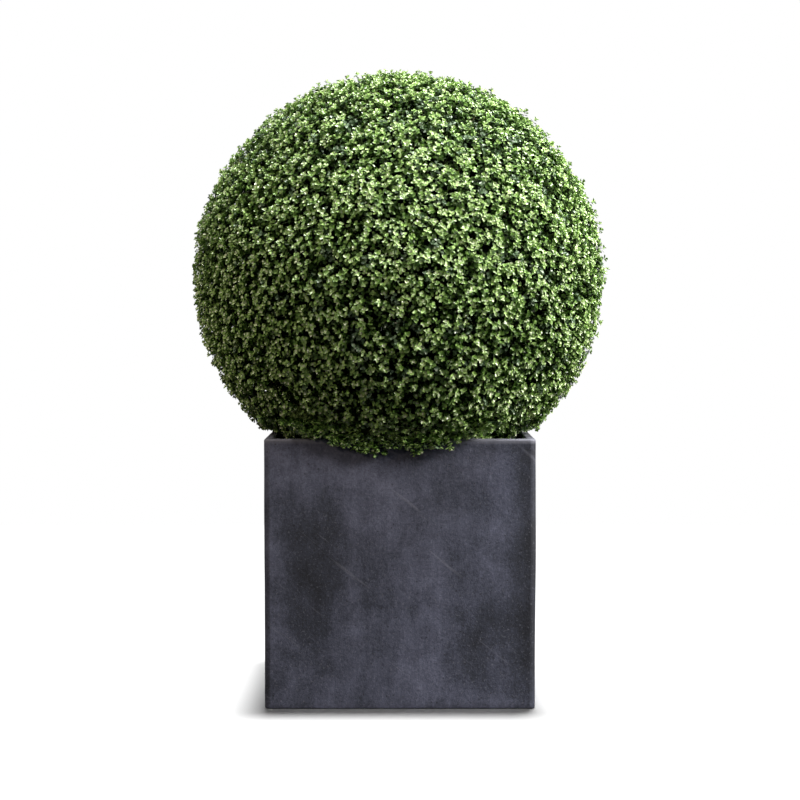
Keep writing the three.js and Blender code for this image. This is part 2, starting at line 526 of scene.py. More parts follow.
def planter_mesh():
    """A cast cube, hollowed from above, with rounded corners, rim and foot."""
    bm = bmesh.new()
    size = Matrix.Diagonal((2 * HALF_SIDE, 2 * HALF_SIDE, RIM, 1))
    bmesh.ops.create_cube(bm, size=1, matrix=Matrix.Translation((0, 0, RIM / 2)) @ size)
    round_off(bm, [edge for edge in bm.edges if upright(edge)], CORNER_ROUND, ROUND_STEPS)
    top = max(bm.faces, key=lambda face: face.calc_center_median().z)
    bmesh.ops.inset_region(bm, faces=[top], thickness=WALL)
    sunk = bmesh.ops.extrude_face_region(bm, geom=[top])
    bmesh.ops.delete(bm, geom=[top], context="FACES_KEEP_BOUNDARY")
    floor = [item for item in sunk["geom"] if isinstance(item, bmesh.types.BMVert)]
    bmesh.ops.translate(bm, verts=floor, vec=(0, 0, PLANTER_FLOOR - RIM))
    rim = edges_where(bm, lambda co: co.z > RIM - MM)
    rim = [edge for edge in rim if edge.is_manifold and edge.calc_face_angle() > SQUARE]
    round_off(bm, rim, RIM_ROUND, ROUND_STEPS)
    foot = edges_where(bm, lambda co: co.z < MM)
    foot = [edge for edge in foot if edge.calc_face_angle() > SQUARE]
    round_off(bm, foot, FOOT_ROUND, FOOT_STEPS)
    for axis in (Vector((1, 0, 0)), Vector((0, 1, 0)), Vector((0, 0, 1))):
        for cut in range(FACE_CUTS + 1):
            at = (cut / FACE_CUTS - 0.5) * 2 * (HALF_SIDE - CUTS_WITHIN)
            where = axis * at + Vector((0, 0, RIM / 2)) * axis.z
            every = bm.verts[:] + bm.edges[:] + bm.faces[:]
            bmesh.ops.bisect_plane(
                bm, geom=every, dist=NEAR_NOTHING, plane_co=where, plane_no=axis
            )
    for corner in bm.verts:
        swell = noise.noise(corner.co * BROAD_UNEVEN + UNEVEN_SEAT)
        swell += FINE_UNEVEN_SHARE * noise.noise(corner.co * FINE_UNEVEN)
        outward = Vector((corner.co.x, corner.co.y, 0)).normalized()
        corner.co += outward * UNEVEN * (swell + MEAN_UNEVEN)
    return mesh_of("planter_cast", bm, SHARP)


def make_planter():
    """The planter, its flat faces kept flat to the eye beside its rounded edges."""
    cast = piece("planter_cast", planter_mesh(), clay_finish(), "planter")
    even = cast.modifiers.new("even_faces", "WEIGHTED_NORMAL")
    even.keep_sharp = True


# ---------------------------------------------------------------- compost

FILL_CUTS = 60
FILL_SHARP = 50
# The surface is lumpy by about this much, in broad lumps and finer ones, and on the whole it
# has settled a share of that below its fill level.
LUMP = 7 * MM
BROAD_LUMPS, BROAD_LUMPS_SHARE = 14, 0.8
FINE_LUMPS, FINE_LUMPS_SHARE = 60, 0.5
SETTLED = 0.9


def lumps(x, y):
    """How far above its fill level the compost lies at a place, mostly below nought."""
    broad = noise.noise(Vector((x * BROAD_LUMPS, y * BROAD_LUMPS, 2)))
    fine = noise.noise(Vector((x * FINE_LUMPS, y * FINE_LUMPS, 5)))
    return LUMP * (BROAD_LUMPS_SHARE * broad + FINE_LUMPS_SHARE * fine - SETTLED)


def compost_mesh():
    """The filling: a lumpy top, drawn down to the planter's floor."""
    bm = bmesh.new()
    half = MOUTH - MM
    bmesh.ops.create_grid(bm, x_segments=FILL_CUTS, y_segments=FILL_CUTS, size=half)
    for corner in bm.verts:
        corner.co.z = FILL + lumps(corner.co.x, corner.co.y)
    border = [edge for edge in bm.edges if edge.is_boundary]
    drawn = bmesh.ops.extrude_edge_only(bm, edges=border)["geom"]
    low = [item for item in drawn if isinstance(item, bmesh.types.BMVert)]
    for corner in low:
        corner.co.z = fill_low.z
    low_edges = [edge for edge in bm.edges if edge.is_boundary]
    bmesh.ops.contextual_create(bm, geom=low_edges)
    return mesh_of("compost_fill", bm, FILL_SHARP)


# ---------------------------------------------------------------- stem

STEM_SIDES = 40
STEM_RINGS = 48
# The foot's radius is made of a shoulder, which tapers to the tip, and a flare that dies away.
SHOULDER = 0.65
FLARE = 0.35
FLARE_FALL = 14
# The bark's ridges run up the stem, wandering from side to side, and are broken by flakes.
RIDGES = 9
RIDGE = 2.2 * MM
RIDGE_WANDER, RIDGE_WANDERS_BY = 16, 2.2
RIDGE_TURNS, RIDGE_SHARE = 3, 0.5
FLAKES_ROUND, FLAKES_UP, FLAKE_SHARE = 6, 90, 0.6
STEM_AXIS_CLEAR = 5 * MM


def stem_mesh():
    """The short trunk: a flared foot, ridged bark, and a blunt tip inside the ball."""
    bm = bmesh.new()
    height = stem_high.z - stem_low.z
    foot = stem_high.x
    tip = foot / 2
    outline = []
    for ring in range(STEM_RINGS + 1):
        up = ring / STEM_RINGS
        radius = tip + (foot * SHOULDER - tip) * (1 - up)
        radius += foot * FLARE * math.exp(-up * FLARE_FALL)
        outline.append(bm.verts.new((radius - 2 * RIDGE, 0, stem_low.z + up * height)))
    ends = [bm.verts.new((0, 0, stem_low.z)), bm.verts.new((0, 0, stem_high.z))]
    chain = [ends[0], *outline, ends[1]]
    edges = [bm.edges.new(pair) for pair in zip(chain, chain[1:])]
    bmesh.ops.spin(
        bm,
        geom=chain + edges,
        cent=(0, 0, 0),
        axis=(0, 0, 1),
        angle=2 * math.pi,
        steps=STEM_SIDES,
        use_merge=True,
    )
    bmesh.ops.remove_doubles(bm, verts=bm.verts, dist=NEAR_NOTHING)
    for corner in bm.verts:
        out = Vector((corner.co.x, corner.co.y, 0))
        if out.length < STEM_AXIS_CLEAR:
            continue
        turn = math.atan2(corner.co.y, corner.co.x)
        wander = RIDGE_WANDERS_BY * noise.noise(corner.co * RIDGE_WANDER)
        ridge = math.sin(RIDGES * turn + RIDGE_TURNS * wander) * RIDGE_SHARE
        flake = noise.noise(Vector((turn * FLAKES_ROUND, corner.co.z * FLAKES_UP, 4)))
        corner.co += out.normalized() * RIDGE * (ridge + FLAKE_SHARE * flake)
    return mesh_of("stem_bark", bm)


# ---------------------------------------------------------------- growing: places and turns

SEED = 7
random = np.random.default_rng(SEED)
GOLDEN_ANGLE = math.pi * (3 - math.sqrt(5))
BATCHES = 16
NEARLY_UPRIGHT = 0.9


def unit(vectors):
    """The vectors at a length of one."""
    return vectors / np.linalg.norm(vectors, axis=-1, keepdims=True)


def spread_directions(count, uneven):
    """Directions spread over a sphere by a golden spiral, each a little out of its place."""
    i = np.arange(count)
    height = 1 - (2 * i + 1) / count
    ring = np.sqrt(1 - height**2)
    angle = i * GOLDEN_ANGLE
    even = np.stack([ring * np.cos(angle), ring * np.sin(angle), height], axis=1)
    apart = math.sqrt(4 * math.pi / count)
    return unit(even + random.normal(0, uneven * apart, even.shape))


def clear_of_planter(points, margin):
    """Points drawn back towards the ball's centre where they would reach wall or fill."""
    reach = np.abs(points[:, :2]).max(axis=1)
    lowest = np.where(reach < MOUTH - 2 * margin, FILL + margin, RIM + margin)
    drop = CENTRE[2] - points[:, 2]
    allowed = CENTRE[2] - lowest
    share = np.where(drop > allowed, allowed / np.maximum(drop, NEAR_NOTHING), 1.0)
    return CENTRE + (points - CENTRE) * share[:, None]


def in_wall(points, margin):
    """True for points inside the planter's walls or floor, or in the compost."""
    reach = np.abs(points[..., :2]).max(axis=-1)
    low = points[..., 2] < RIM + margin
    wall = low & (reach < HALF_SIDE + margin) & (reach > MOUTH - margin)
    fill = (points[..., 2] < FILL) & (reach < HALF_SIDE)
    return wall | fill


def nearest(directions, parents):
    """For each direction, which parent's direction lies closest, worked out in batches."""
    batches = np.array_split(directions, BATCHES)
    return np.concatenate([(batch @ parents.T).argmax(axis=1) for batch in batches])


def side_frame(ways, spins):
    """Two unit vectors square to each way, turned about it by each spin."""
    steep = np.abs(ways[:, 2:]) > NEARLY_UPRIGHT
    aid = np.where(steep, [[1.0, 0, 0]], [[0, 0, 1.0]])
    first = unit(np.cross(aid, ways))
    second = np.cross(ways, first)
    cos, sin = np.cos(spins)[:, None], np.sin(spins)[:, None]
    return first * cos + second * sin, second * cos - first * sin


# ---------------------------------------------------------------- growing: blanks and arrays


# How far a leaf's widest place is pushed out towards its tip, and its width at its foot and
# how much wider it is at its tip.
LEAF_PUSH = 0.12
LEAF_FOOT = 0.9
LEAF_SPREAD = 0.25


def arrays_of(bm):
    """A blank's corners and triangles as arrays."""
    bmesh.ops.triangulate(bm, faces=bm.faces)
    bm.verts.index_update()
    corners = np.array([corner.co[:] for corner in bm.verts])
    faces = np.array([[corner.index for corner in face.verts] for face in bm.faces])
    bm.free()
    return corners, faces


def leaf_blank(sides, fold, curl):
    """A blunt leaf, one unit long, across x and along z, folded on its rib and curled."""
    bm = bmesh.new()
    bmesh.ops.create_circle(bm, cap_ends=True, segments=sides, radius=0.5)
    foot = min(bm.verts, key=lambda corner: corner.co.y)
    tip = max(bm.verts, key=lambda corner: corner.co.y)
    bmesh.ops.connect_verts(bm, verts=[foot, tip])
    for corner in bm.verts:
        along = corner.co.y + 0.5
        along += LEAF_PUSH * math.sin(math.pi * along)
        across = corner.co.x * (LEAF_FOOT + LEAF_SPREAD * along)
        raised = fold * abs(2 * across) - curl * along**2
        corner.co = (across, raised, along)
    return arrays_of(bm)


def wood_blank(sides, stages, tip):
    """A tapering length of wood, one unit long and one in radius at its foot."""
    bm = bmesh.new()
    bmesh.ops.create_cone(
        bm, cap_ends=True, segments=sides, radius1=1, radius2=tip, depth=1
    )
    bmesh.ops.translate(bm, verts=bm.verts, vec=(0, 0, 0.5))
    for stage in range(1, stages):
        every = bm.verts[:] + bm.edges[:] + bm.faces[:]
        cut = (0, 0, stage / stages)
        bmesh.ops.bisect_plane(
            bm, geom=every, dist=NEAR_NOTHING, plane_co=cut, plane_no=(0, 0, 1)
        )
    bmesh.ops.recalc_face_normals(bm, faces=bm.faces)
    return arrays_of(bm)


def repeated(blank, feet, axes, bows=None):
    """The blank's corners at every foot, its x, y and z along the three axes given there."""
    corners, _ = blank
    placed = np.einsum("kj,njc->nkc", corners, axes) + feet[:, None, :]
    if bows is not None:
        bend = corners[:, 2] * (1 - corners[:, 2])
        placed += bend[None, :, None] * bows[:, None, :]
    return placed


def joined_mesh(name, parts):
    """One mesh from (corners of each copy, the blank's triangles) pairs."""
    corners, faces, start = [], [], 0
    for placed, triangles in parts:
        count, size, _ = placed.shape
        first = start + np.arange(count) * size
        corners.append(placed.reshape(-1, 3))
        faces.append((triangles[None] + first[:, None, None]).reshape(-1, 3))
        start += count * size
    corners = np.concatenate(corners).astype(np.float32)
    faces = np.concatenate(faces).astype(np.int32)
    mesh = bpy.data.meshes.new(name)
    mesh.vertices.add(len(corners))
    mesh.vertices.foreach_set("co", corners.ravel())
    mesh.loops.add(faces.size)
    mesh.loops.foreach_set("vertex_index", faces.ravel())
    mesh.polygons.add(len(faces))
    mesh.polygons.foreach_set("loop_start", np.arange(0, faces.size, 3, dtype=np.int32))
    mesh.update(calc_edges=True)
    mesh.shade_smooth()
    return mesh


# ---------------------------------------------------------------- growing: wood

# How far back from its end a length of wood bends, as a share of its length.
KNEE = 0.42


def wood(feet, ends, turns, radius):
    """Lengths of wood as feet, ends and a bow that turns each end its given way."""
    span = ends - feet
    length = np.linalg.norm(span, axis=1, keepdims=True)
    knee = ends - turns * length * KNEE
    bows = 2 * (knee - (feet + ends) / 2)
    first, second = side_frame(unit(span), random.uniform(0, math.pi, len(feet)))
    wide = np.broadcast_to(np.asarray(radius, float).reshape(-1, 1), (len(feet), 1))
    axes = np.stack([first * wide, second * wide, span], axis=1)
    return {"feet": feet, "ends": ends, "axes": axes, "bows": bows, "length": length[:, 0]}


def along_wood(grown, share):
    """Places at a share of each length, and the way the wood runs there."""
    share = np.asarray(share, float).reshape(-1, 1)
    span = grown["axes"][:, 2]
    place = grown["feet"] + span * share + grown["bows"] * share * (1 - share)
    way = unit(span + grown["bows"] * (1 - 2 * share))
    return place, way


def kept_wood(grown, keep):
    """The lengths of wood that are to be kept."""
    return {part: values[keep] for part, values in grown.items()}


# Each level of wood: how many lengths, how far from the ball's centre they end, their radius
# at the foot and how unevenly long they are.
BOUGHS, BOUGH_ENDS, BOUGH_RADIUS, BOUGH_UNEVEN = 12, 0.20, 9 * MM, 0.15
LIMBS, LIMB_ENDS, LIMB_RADIUS, LIMB_UNEVEN = 120, 0.33, 4.6 * MM, 0.12
TWIGS, TWIG_ENDS, TWIG_RADIUS, TWIG_UNEVEN = 1500, 0.42, 2.2 * MM, 0.04
SPRIGS, SPRIG_ENDS, SPRIG_RADIUS, SPRIG_UNEVEN = 5200, 0.452, 1.2 * MM, 0.03
SHOOTS = 19000
# How far each level's directions stray from the even spiral, as a share of what parts them.
SCATTER = 0.12
SPRIG_SCATTER = 0.3
SHOOT_SCATTER = 0.16
# How far wood and leaves keep clear of the planter and compost.
WOOD_CLEAR = 14 * MM
TIP_CLEAR = 9 * MM
SHOOT_CLEAR = 2 * MM
LEAF_CLEAR = 1 * MM


def grow_level(count, ends_at, parent_ways, parent_ends, radius, uneven, scatter=SCATTER):
    """A level of wood: each length grows from the nearest end of the level before it."""
    ways = spread_directions(count, scatter)
    owner = nearest(ways, parent_ways)
    reach = ends_at * (1 - random.uniform(0, uneven, count))
    ends = clear_of_planter(CENTRE + ways * reach[:, None], WOOD_CLEAR)
    return ways, wood(parent_ends[owner], ends, ways, radius)


# ---------------------------------------------------------------- growing: shoots and leaves

SURFACE = BALL_REACH - 2 * MM
# Each sprig's tuft is domed: its shoots shorten towards its edge.
DOME = 4 * MM
DOME_EDGE = 1.4
DOME_CURVE = 4
# Valleys between groups of tufts, and narrow gaps between tufts: how deep, how far across,
# where in the noise they are read and how steeply they fall in.
VALLEY = 18 * MM
VALLEY_ACROSS = 58 * MM
VALLEY_SEAT = Vector((1.3, 5.2, 2.4))
VALLEY_STEEP = 1.6
VALLEY_CURVE = 1.3
GAP = 22 * MM
GAP_ACROSS = 13 * MM
GAP_SEAT = Vector((6.3, 0.4, 3.1))
GAP_STEEP = 3.5
GAP_FROM = 0.02
# The clipping bulges this far each way: it is a little fuller to the left and underneath than
# to the right and on top.
LOPSIDED = np.array([-4.0, 0.0, -3.0]) * MM
# How much shorter than its neighbours a whole sprig's tuft and a single shoot may be.
SPRIG_SHORT = 3 * MM
SHORT = 10 * MM
# The clipping also swells in and out slowly.
SWELL = 4 * MM
SWELL_ACROSS = 300 * MM
SWELL_SEAT = Vector((3.7, 1.2, 8.1))
# A few shoots have grown out past the clipping.
STRAY_SHARE = 0.03
STRAY = 4 * MM
# How shoots turn up to the light, fan out from their sprig, and are drawn in towards it.
LEAN_UP = 0.5
FAN = 0.45
GATHER = 0.1
TURN_NOISE = 0.15
SHOOT_RADIUS = 0.6 * MM

# Crossed pairs from the tip down: how far below it, the tilt from the shoot in degrees, the
# length and the width, in millimetres.
PAIRS = [
    (0.4, 30, 5.2, 4.2),
    (2.2, 50, 7.8, 5.6),
    (5.8, 65, 9.4, 6.4),
    (11.0, 78, 10.2, 6.8),
]
SPRIG_PAIRS = [
    (1.0, 60, 9.0, 6.4),
    (7.0, 75, 10.0, 7.0),
    (14.0, 85, 11.0, 7.6),
]
# The least length that the pairs' places are worked out on, and how far leaves stray: round
# the shoot, in degrees of tilt, in roll and in size.
SHORTEST = 14 * MM
AROUND_NOISE = 0.16
TILT_NOISE = 11
ROLL_NOISE = 0.3
LEAST_GROWN, MOST_GROWN = 0.82, 1.16


def noise_over(ways, across, seat):
    """Noise over the ball in each direction, its swells about as far across as given."""
    return np.array([noise.noise(Vector(way) * BALL_REACH / across + seat) for way in ways])


def grow_shoots(sprig_ways, sprig_ends):
    """The ball's shoots, shorter at the edge of each sprig's tuft and over its hollows."""
    ways = spread_directions(SHOOTS, SHOOT_SCATTER)
    owner = nearest(ways, sprig_ways)
    aside = (ways - sprig_ways[owner]) / math.sqrt(4 / SPRIGS)
    apart = np.linalg.norm(aside, axis=1)
    hollow = noise_over(ways, VALLEY_ACROSS, VALLEY_SEAT)
    hollow = np.clip(hollow * VALLEY_STEEP, 0, 1) ** VALLEY_CURVE
    gap = noise_over(ways, GAP_ACROSS, GAP_SEAT)
    gap = np.clip((gap - GAP_FROM) * GAP_STEEP, 0, 1)
    below = DOME * np.minimum(apart, DOME_EDGE) ** DOME_CURVE + VALLEY * hollow + GAP * gap
    below -= ways @ LOPSIDED
    swell = noise_over(ways, SWELL_ACROSS, SWELL_SEAT)
    below += random.uniform(0, SHORT, SHOOTS) - SWELL * swell
    below += random.uniform(0, SPRIG_SHORT, SPRIGS)[owner]
    stray = random.random(SHOOTS) < STRAY_SHARE
    below = np.where(stray, -random.uniform(0, STRAY, SHOOTS), below)
    ways = unit(ways * (1 - GATHER) + sprig_ways[owner] * GATHER)
    tips = clear_of_planter(CENTRE + ways * (SURFACE - below)[:, None], TIP_CLEAR)
    turns = ways + aside * FAN + UP * LEAN_UP + random.normal(0, TURN_NOISE, ways.shape)
    grown = wood(sprig_ends[owner], tips, unit(turns), SHOOT_RADIUS)
    return grown | {"owner": owner, "below": below}


def leaf_axes(ways, around, tilt, roll, length, width):
    """Axes of leaves that leave wood running each way, at a turn round it and a tilt off it."""
    first, second = side_frame(ways, around)
    run = ways * np.cos(tilt)[:, None] + first * np.sin(tilt)[:, None]
    across = second
    face = np.cross(run, across)
    cos, sin = np.cos(roll)[:, None], np.sin(roll)[:, None]
    across, face = across * cos + face * sin, face * cos - across * sin
    return np.stack(
        [across * width[:, None], face * width[:, None], run * length[:, None]], axis=1
    )


def paired_leaves(shoots, pairs, spin, size):
    """Every leaf of the shoots as (pair number, shoot number, feet, axes)."""
    leaves = []
    count = len(shoots["length"])
    for pair, (below, tilt, length, width) in enumerate(pairs):
        share = 1 - below * MM * size / np.maximum(shoots["length"], SHORTEST)
        place, way = along_wood(shoots, share)
        for mate in range(2):
            around = spin + pair * math.pi / 2 + mate * math.pi
            around += random.normal(0, AROUND_NOISE, count)
            tilts = np.radians(tilt + random.normal(0, TILT_NOISE, count))
            grown = size * random.uniform(LEAST_GROWN, MOST_GROWN, count)
            axes = leaf_axes(
                way,
                around,
                tilts,
                random.normal(0, ROLL_NOISE, count),
                length * MM * grown,
                width * MM * grown,
            )
            leaves.append((pair, np.arange(count), place, axes))
    return leaves


# ---------------------------------------------------------------- collar over the rim

# Half the collar's length along a side, and how far its middle lies to one side.
COLLAR_HALF = 0.235
COLLAR_ASIDE = -0.014
# On the front, right, back and left: how many shoots, how far their tips hang below the rim,
# or stay above it, and how far out from the wall they reach.
COLLARS = [
    (620, 32 * MM, 24 * MM),
    (130, -8 * MM, 15 * MM),
    (360, 14 * MM, 22 * MM),
    (130, -8 * MM, 15 * MM),
]
# They start inside the wall and over the rim, a little closer together than they end, and
# their tips lie between this far above the rim and where they hang, closest to the wall first.
COLLAR_DRAWN_IN = 0.9
COLLAR_FOOT = 0.272
COLLAR_FOOT_LOW, COLLAR_FOOT_HIGH = 0.65, 0.68
COLLAR_ABOVE = 40 * MM
COLLAR_OFF_WALL = 9 * MM
COLLAR_STRAY = 8 * MM
# The collar hangs lowest in its middle, tapers off towards its ends and is broken into tufts.
COLLAR_TAPER = 2.5
COLLAR_FULL, TUFT_DEPTH = 0.95, 0.35
TUFTED = 11.0
# Which way the shoots' tips turn, how unevenly, and how far they fan out towards the ends.
DROOP = np.array([0.0, -0.45, -0.9])
DROOP_NOISE = 0.3
DROOP_FAN = 0.3
# How far below the clipping the collar's shades are dealt as: this darkens them as painted
# shade under the ball that hangs over them.
SHADE_LEAST, SHADE_MOST = 3 * MM, 24 * MM


def collar_shoots():
    """Shoots over the middle of each side that lean out and hang down outside the rim."""
    feet, tips, turns = [], [], []
    for quarter, (count, hang, reach) in enumerate(COLLARS):
        turn = np.array(Matrix.Rotation(quarter * math.pi / 2, 3, "Z"))
        along = random.uniform(-1, 1, count)
        tufts = [noise.noise(Vector((TUFTED * place, 7.0 * quarter, 0.5))) for place in along]
        middle = 1 - np.abs(along) ** COLLAR_TAPER
        middle = middle * (COLLAR_FULL + TUFT_DEPTH * np.array(tufts))
        along = along * COLLAR_HALF
        foot = np.stack(
            [
                along * COLLAR_DRAWN_IN + COLLAR_ASIDE,
                np.full(count, -COLLAR_FOOT),
                random.uniform(COLLAR_FOOT_LOW, COLLAR_FOOT_HIGH, count),
            ],
            axis=1,
        )
        fall = (COLLAR_ABOVE + hang) * middle
        low = RIM + COLLAR_ABOVE - fall * random.uniform(0, 1, count)
        tip = np.stack(
            [
                along + COLLAR_ASIDE + random.normal(0, COLLAR_STRAY, count),
                -(HALF_SIDE + random.uniform(COLLAR_OFF_WALL, reach, count)),
                low,
            ],
            axis=1,
        )
        way = DROOP + random.normal(0, DROOP_NOISE, tip.shape)
        way[:, 0] += along / COLLAR_HALF * DROOP_FAN
        feet.append(foot @ turn.T)
        tips.append(tip @ turn.T)
        turns.append(unit(way) @ turn.T)
    feet, tips, turns = map(np.concatenate, (feet, tips, turns))
    owner = random.integers(0, SPRIGS, len(feet))
    below = random.uniform(SHADE_LEAST, SHADE_MOST, len(feet))
    return wood(feet, tips, turns, SHOOT_RADIUS) | {"owner": owner, "below": below}


# ---------------------------------------------------------------- shades, dealt by spray

# Each shade's colour, roughness, gloss and wax: young leaves shine, old ones within are dull.
# The near-white tip colour is partly paler new growth and partly a painted highlight. Deep and
# grey are partly older leaves and partly painted shade, and the two near-black colours below
# them are painted shade inside the ball.
SHADES = {
    "tip": ("#E2ECCC", 0.38, 1.0, 1.0),
    "lime": ("#A8CC74", 0.38, 1.0, 1.0),
    "green": ("#7EA64E", 0.38, 0.9, 1.0),
    "cool": ("#829E7C", 0.38, 1.0, 1.0),
    "deep": ("#305010", 0.5, 0.3, 0.0),
    "grey": ("#3E5A32", 0.5, 0.4, 0.2),
    "old": ("#0C1C04", 0.6, 0.1, 0.0),
    "inner": ("#040A02", 0.8, 0.0, 0.0),
}
# A spray's own shade, and the shades of its pairs of leaves from the tip down: the lower pairs
# are darker, partly as older leaves and partly as painted shade within each rosette.
NEW_SHADES = ["tip", "lime", "green", "cool"]
MIXED = {
    "tip": ("tip", "lime", "lime", "deep"),
    "lime": ("lime", "lime", "green", "deep"),
    "green": ("green", "green", "deep", "old"),
    "cool": ("cool", "cool", "grey", "old"),
}
MOST_TRIANGLES = 180_000


def deal_leaves(dealt, leaves, sprays, blanks):
    """Deals the leaves' corners by shade, leaving out any that would touch the planter."""
    for pair, shoot, feet, axes in leaves:
        blank = blanks[pair]
        placed = repeated(blank, feet, axes)
        clear = ~in_wall(placed, LEAF_CLEAR).any(axis=1)
        for number, spray_shade in enumerate(NEW_SHADES):
            own = clear & (sprays[shoot] == number)
            dealt[MIXED[spray_shade][pair]].append((placed[own], blank[1]))


def deal_plain(dealt, shade, feet, axes, blank):
    """Deals leaves of one shade."""
    placed = repeated(blank, feet, axes)
    clear = ~in_wall(placed, LEAF_CLEAR).any(axis=1)
    dealt[shade].append((placed[clear], blank[1]))


def make_leaf_pieces(dealt):
    """Joins each shade's leaves, starting a new piece before one would grow too large."""
    for shade, parts in dealt.items():
        finish = leaf_finish(f"box_leaf_{shade}", *SHADES[shade])
        lot, count, number = [], 0, 1
        for placed, triangles in parts + [(None, None)]:
            added = 0 if placed is None else len(placed) * len(triangles)
            if lot and (placed is None or count + added > MOST_TRIANGLES):
                name = f"leaves_{shade}_{number}"
                piece(name, joined_mesh(name, lot), finish, "foliage_ball")
                lot, count, number = [], 0, number + 1
            if placed is not None:
                lot.append((placed, triangles))
                count += added


def make_wood_piece(name, blank, grown, finish):
    """Joins one level's lengths of wood."""
    placed = repeated(blank, grown["feet"], grown["axes"], grown["bows"])
    mesh = joined_mesh(name, [(placed, blank[1])])
    piece(name, mesh, finish, "foliage_ball")


# ---------------------------------------------------------------- the ball

LEAVES_PER_LIMB, LIMB_LEAF = 40, 42 * MM
LEAVES_PER_TWIG, TWIG_LEAF = 20, 34 * MM
# The inner leaves start this far along their wood, as a share of it, and run on over so much.
INNER_FROM, INNER_OVER = 0.08, 0.9
INNER_LEAST = 0.76
INNER_TILTS = (50, 100)
INNER_ROLL = 0.5
INNER_WIDTH = 0.62
# How far inside the stem's tip the boughs start.
STEM_TIP_IN = 8 * MM
# A spray is dealt one shade darker for every so much that it lies below the clipping, give or
# take: partly older growth, partly painted shade in the hollows and gaps.
SHADE_STEP = 10 * MM
SHADE_NOISE = 0.7
COOL = NEW_SHADES.index("cool")
COOL_SHARE = 0.15
LEAST_SIZE, MOST_SIZE = 0.8, 1.2
SHOOT_CHECKS = (0.3, 0.5, 0.7, 0.85, 1.0)


def inner_leaves(grown, each, longest):
    """Older leaves down the wood inside the ball, where little light comes."""
    leaves = []
    count = len(grown["length"])
    for step in range(each):
        share = INNER_FROM + INNER_OVER * (step + random.random(count)) / each
        place, way = along_wood(grown, share)
        around = random.uniform(0, 2 * math.pi, count)
        length = longest * random.uniform(INNER_LEAST, 1, count)
        tilt = np.radians(random.uniform(*INNER_TILTS, count))
        roll = random.normal(0, INNER_ROLL, count)
        axes = leaf_axes(way, around, tilt, roll, length, length * INNER_WIDTH)
        leaves.append((place, axes))
    return leaves


def make_ball(bark):
    """The ball from the stem's tip out, and the collar over the rim."""
    green_wood = twig_finish("box_shoot_green", "#5C7038")
    tan_wood = twig_finish("box_twig_tan", "#6E5F42")

    down = np.array([[0.0, 0.0, -1.0]])
    start = STEM_TIP[None] - UP * STEM_TIP_IN
    bough_ways, boughs = grow_level(
        BOUGHS, BOUGH_ENDS, down, start, BOUGH_RADIUS, BOUGH_UNEVEN
    )
    limb_ways, limbs = grow_level(
        LIMBS, LIMB_ENDS, bough_ways, boughs["ends"], LIMB_RADIUS, LIMB_UNEVEN
    )
    twig_ways, twigs = grow_level(
        TWIGS, TWIG_ENDS, limb_ways, limbs["ends"], TWIG_RADIUS, TWIG_UNEVEN
    )
    sprig_ways, sprigs = grow_level(
        SPRIGS,
        SPRIG_ENDS,
        twig_ways,
        twigs["ends"],
        SPRIG_RADIUS,
        SPRIG_UNEVEN,
        SPRIG_SCATTER,
    )
    shoots = grow_shoots(sprig_ways, sprigs["ends"])
    collar = collar_shoots()
    shoots = {part: np.concatenate([shoots[part], collar[part]]) for part in shoots}
    steps = [along_wood(shoots, share)[0] for share in SHOOT_CHECKS]
    clear = ~np.any([in_wall(step, SHOOT_CLEAR) for step in steps], axis=0)
    shoots = kept_wood(shoots, clear)

    thick = wood_blank(sides=10, stages=10, tip=0.6)
    middling = wood_blank(sides=6, stages=6, tip=0.5)
    thin = wood_blank(sides=4, stages=3, tip=0.5)
    thinner = wood_blank(sides=3, stages=2, tip=0.5)
    thinnest = wood_blank(sides=3, stages=1, tip=0.3)
    make_wood_piece("boughs", thick, boughs, bark)
    make_wood_piece("limbs", middling, limbs, tan_wood)
    make_wood_piece("twigs", thin, twigs, tan_wood)
    make_wood_piece("sprigs", thinner, sprigs, green_wood)
    make_wood_piece("shoots", thinnest, shoots, green_wood)

    count = len(shoots["length"])
    spin = random.uniform(0, math.pi, count)
    size = random.uniform(LEAST_SIZE, MOST_SIZE, count)
    older_and_shaded = shoots["below"] / SHADE_STEP + random.normal(0, SHADE_NOISE, count)
    cool = random.random(SPRIGS) < COOL_SHARE
    sprays = np.clip(older_and_shaded.astype(int), 0, COOL - 1)
    sprays = np.where(cool[shoots["owner"]] & (sprays > 0), COOL, sprays)
    dealt = {shade: [] for shade in SHADES}
    folded = leaf_blank(sides=6, fold=0.34, curl=0.2)
    shaded = leaf_blank(sides=4, fold=0.1, curl=0.1)
    blanks = [folded, folded, folded, shaded]
    deal_leaves(dealt, paired_leaves(shoots, PAIRS, spin, size), sprays, blanks)
    turn = random.uniform(0, math.pi, SPRIGS)
    grown = random.uniform(LEAST_SIZE, MOST_SIZE, SPRIGS)
    # The sprigs' leaves, deep in the tufts, are dealt the dark colours as painted shade.
    for pair, _, feet, axes in paired_leaves(sprigs, SPRIG_PAIRS, turn, grown):
        deal_plain(dealt, "old" if pair > 1 else "deep", feet, axes, folded)
    within = inner_leaves(limbs, LEAVES_PER_LIMB, LIMB_LEAF)
    within += inner_leaves(twigs, LEAVES_PER_TWIG, TWIG_LEAF)
    # The inner leaves are dealt a near-black colour that paints the shade inside the ball.
    for feet, axes in within:
        deal_plain(dealt, "inner", feet, axes, shaded)
    make_leaf_pieces(dealt)


# ---------------------------------------------------------------- floor and light

FLOOR_HALF = 3.2
# The room's soft light is brightest this way, and dims with the cosine of the angle from it.
ROOM_TOWARDS = (0.6, -0.1, 0.78)
ROOM_FROM, ROOM_TO = -0.3, 1.0
ROOM_DIM, ROOM_BRIGHT = 0.01, 0.18


